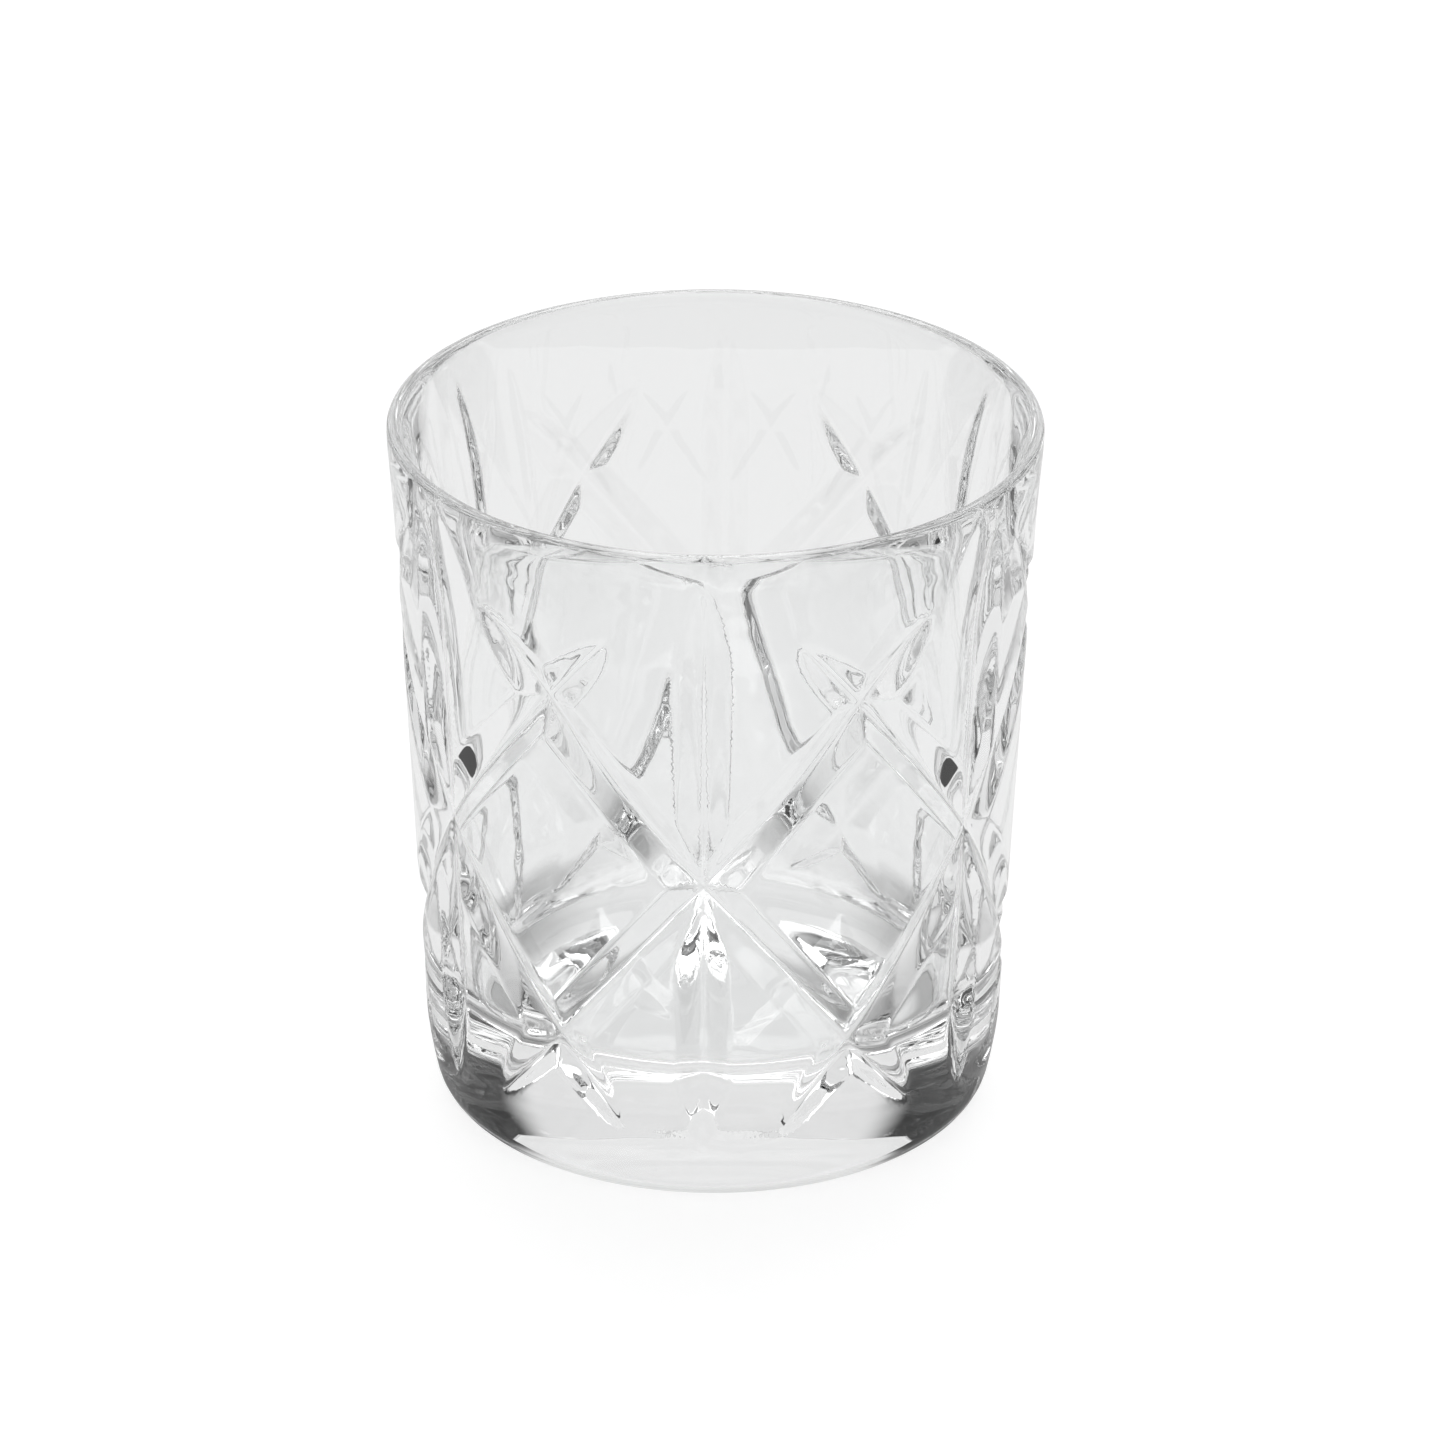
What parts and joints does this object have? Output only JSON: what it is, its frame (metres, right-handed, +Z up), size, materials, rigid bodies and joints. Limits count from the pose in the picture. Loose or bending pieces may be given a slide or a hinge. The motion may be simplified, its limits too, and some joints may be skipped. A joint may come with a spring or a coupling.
{
  "type": "whisky tumbler",
  "caption": "Heavy-based pressed-glass whisky tumbler, gently tapered, with crossing slanting and upright V-cuts round its wall and a rounded lip.",
  "frame": {"origin": "centre of the face that the tumbler stands on", "axes": "+Z up along the tumbler's axis; -Y passes through one column of upright cuts"},
  "size_m": [0.0846, 0.0846, 0.095],
  "materials": {
    "clear_glass": "clear, fire-polished"
  },
  "bodies": {
    "root": {"tumbler_glass": "clear_glass"}
  },
  "joints": []
}
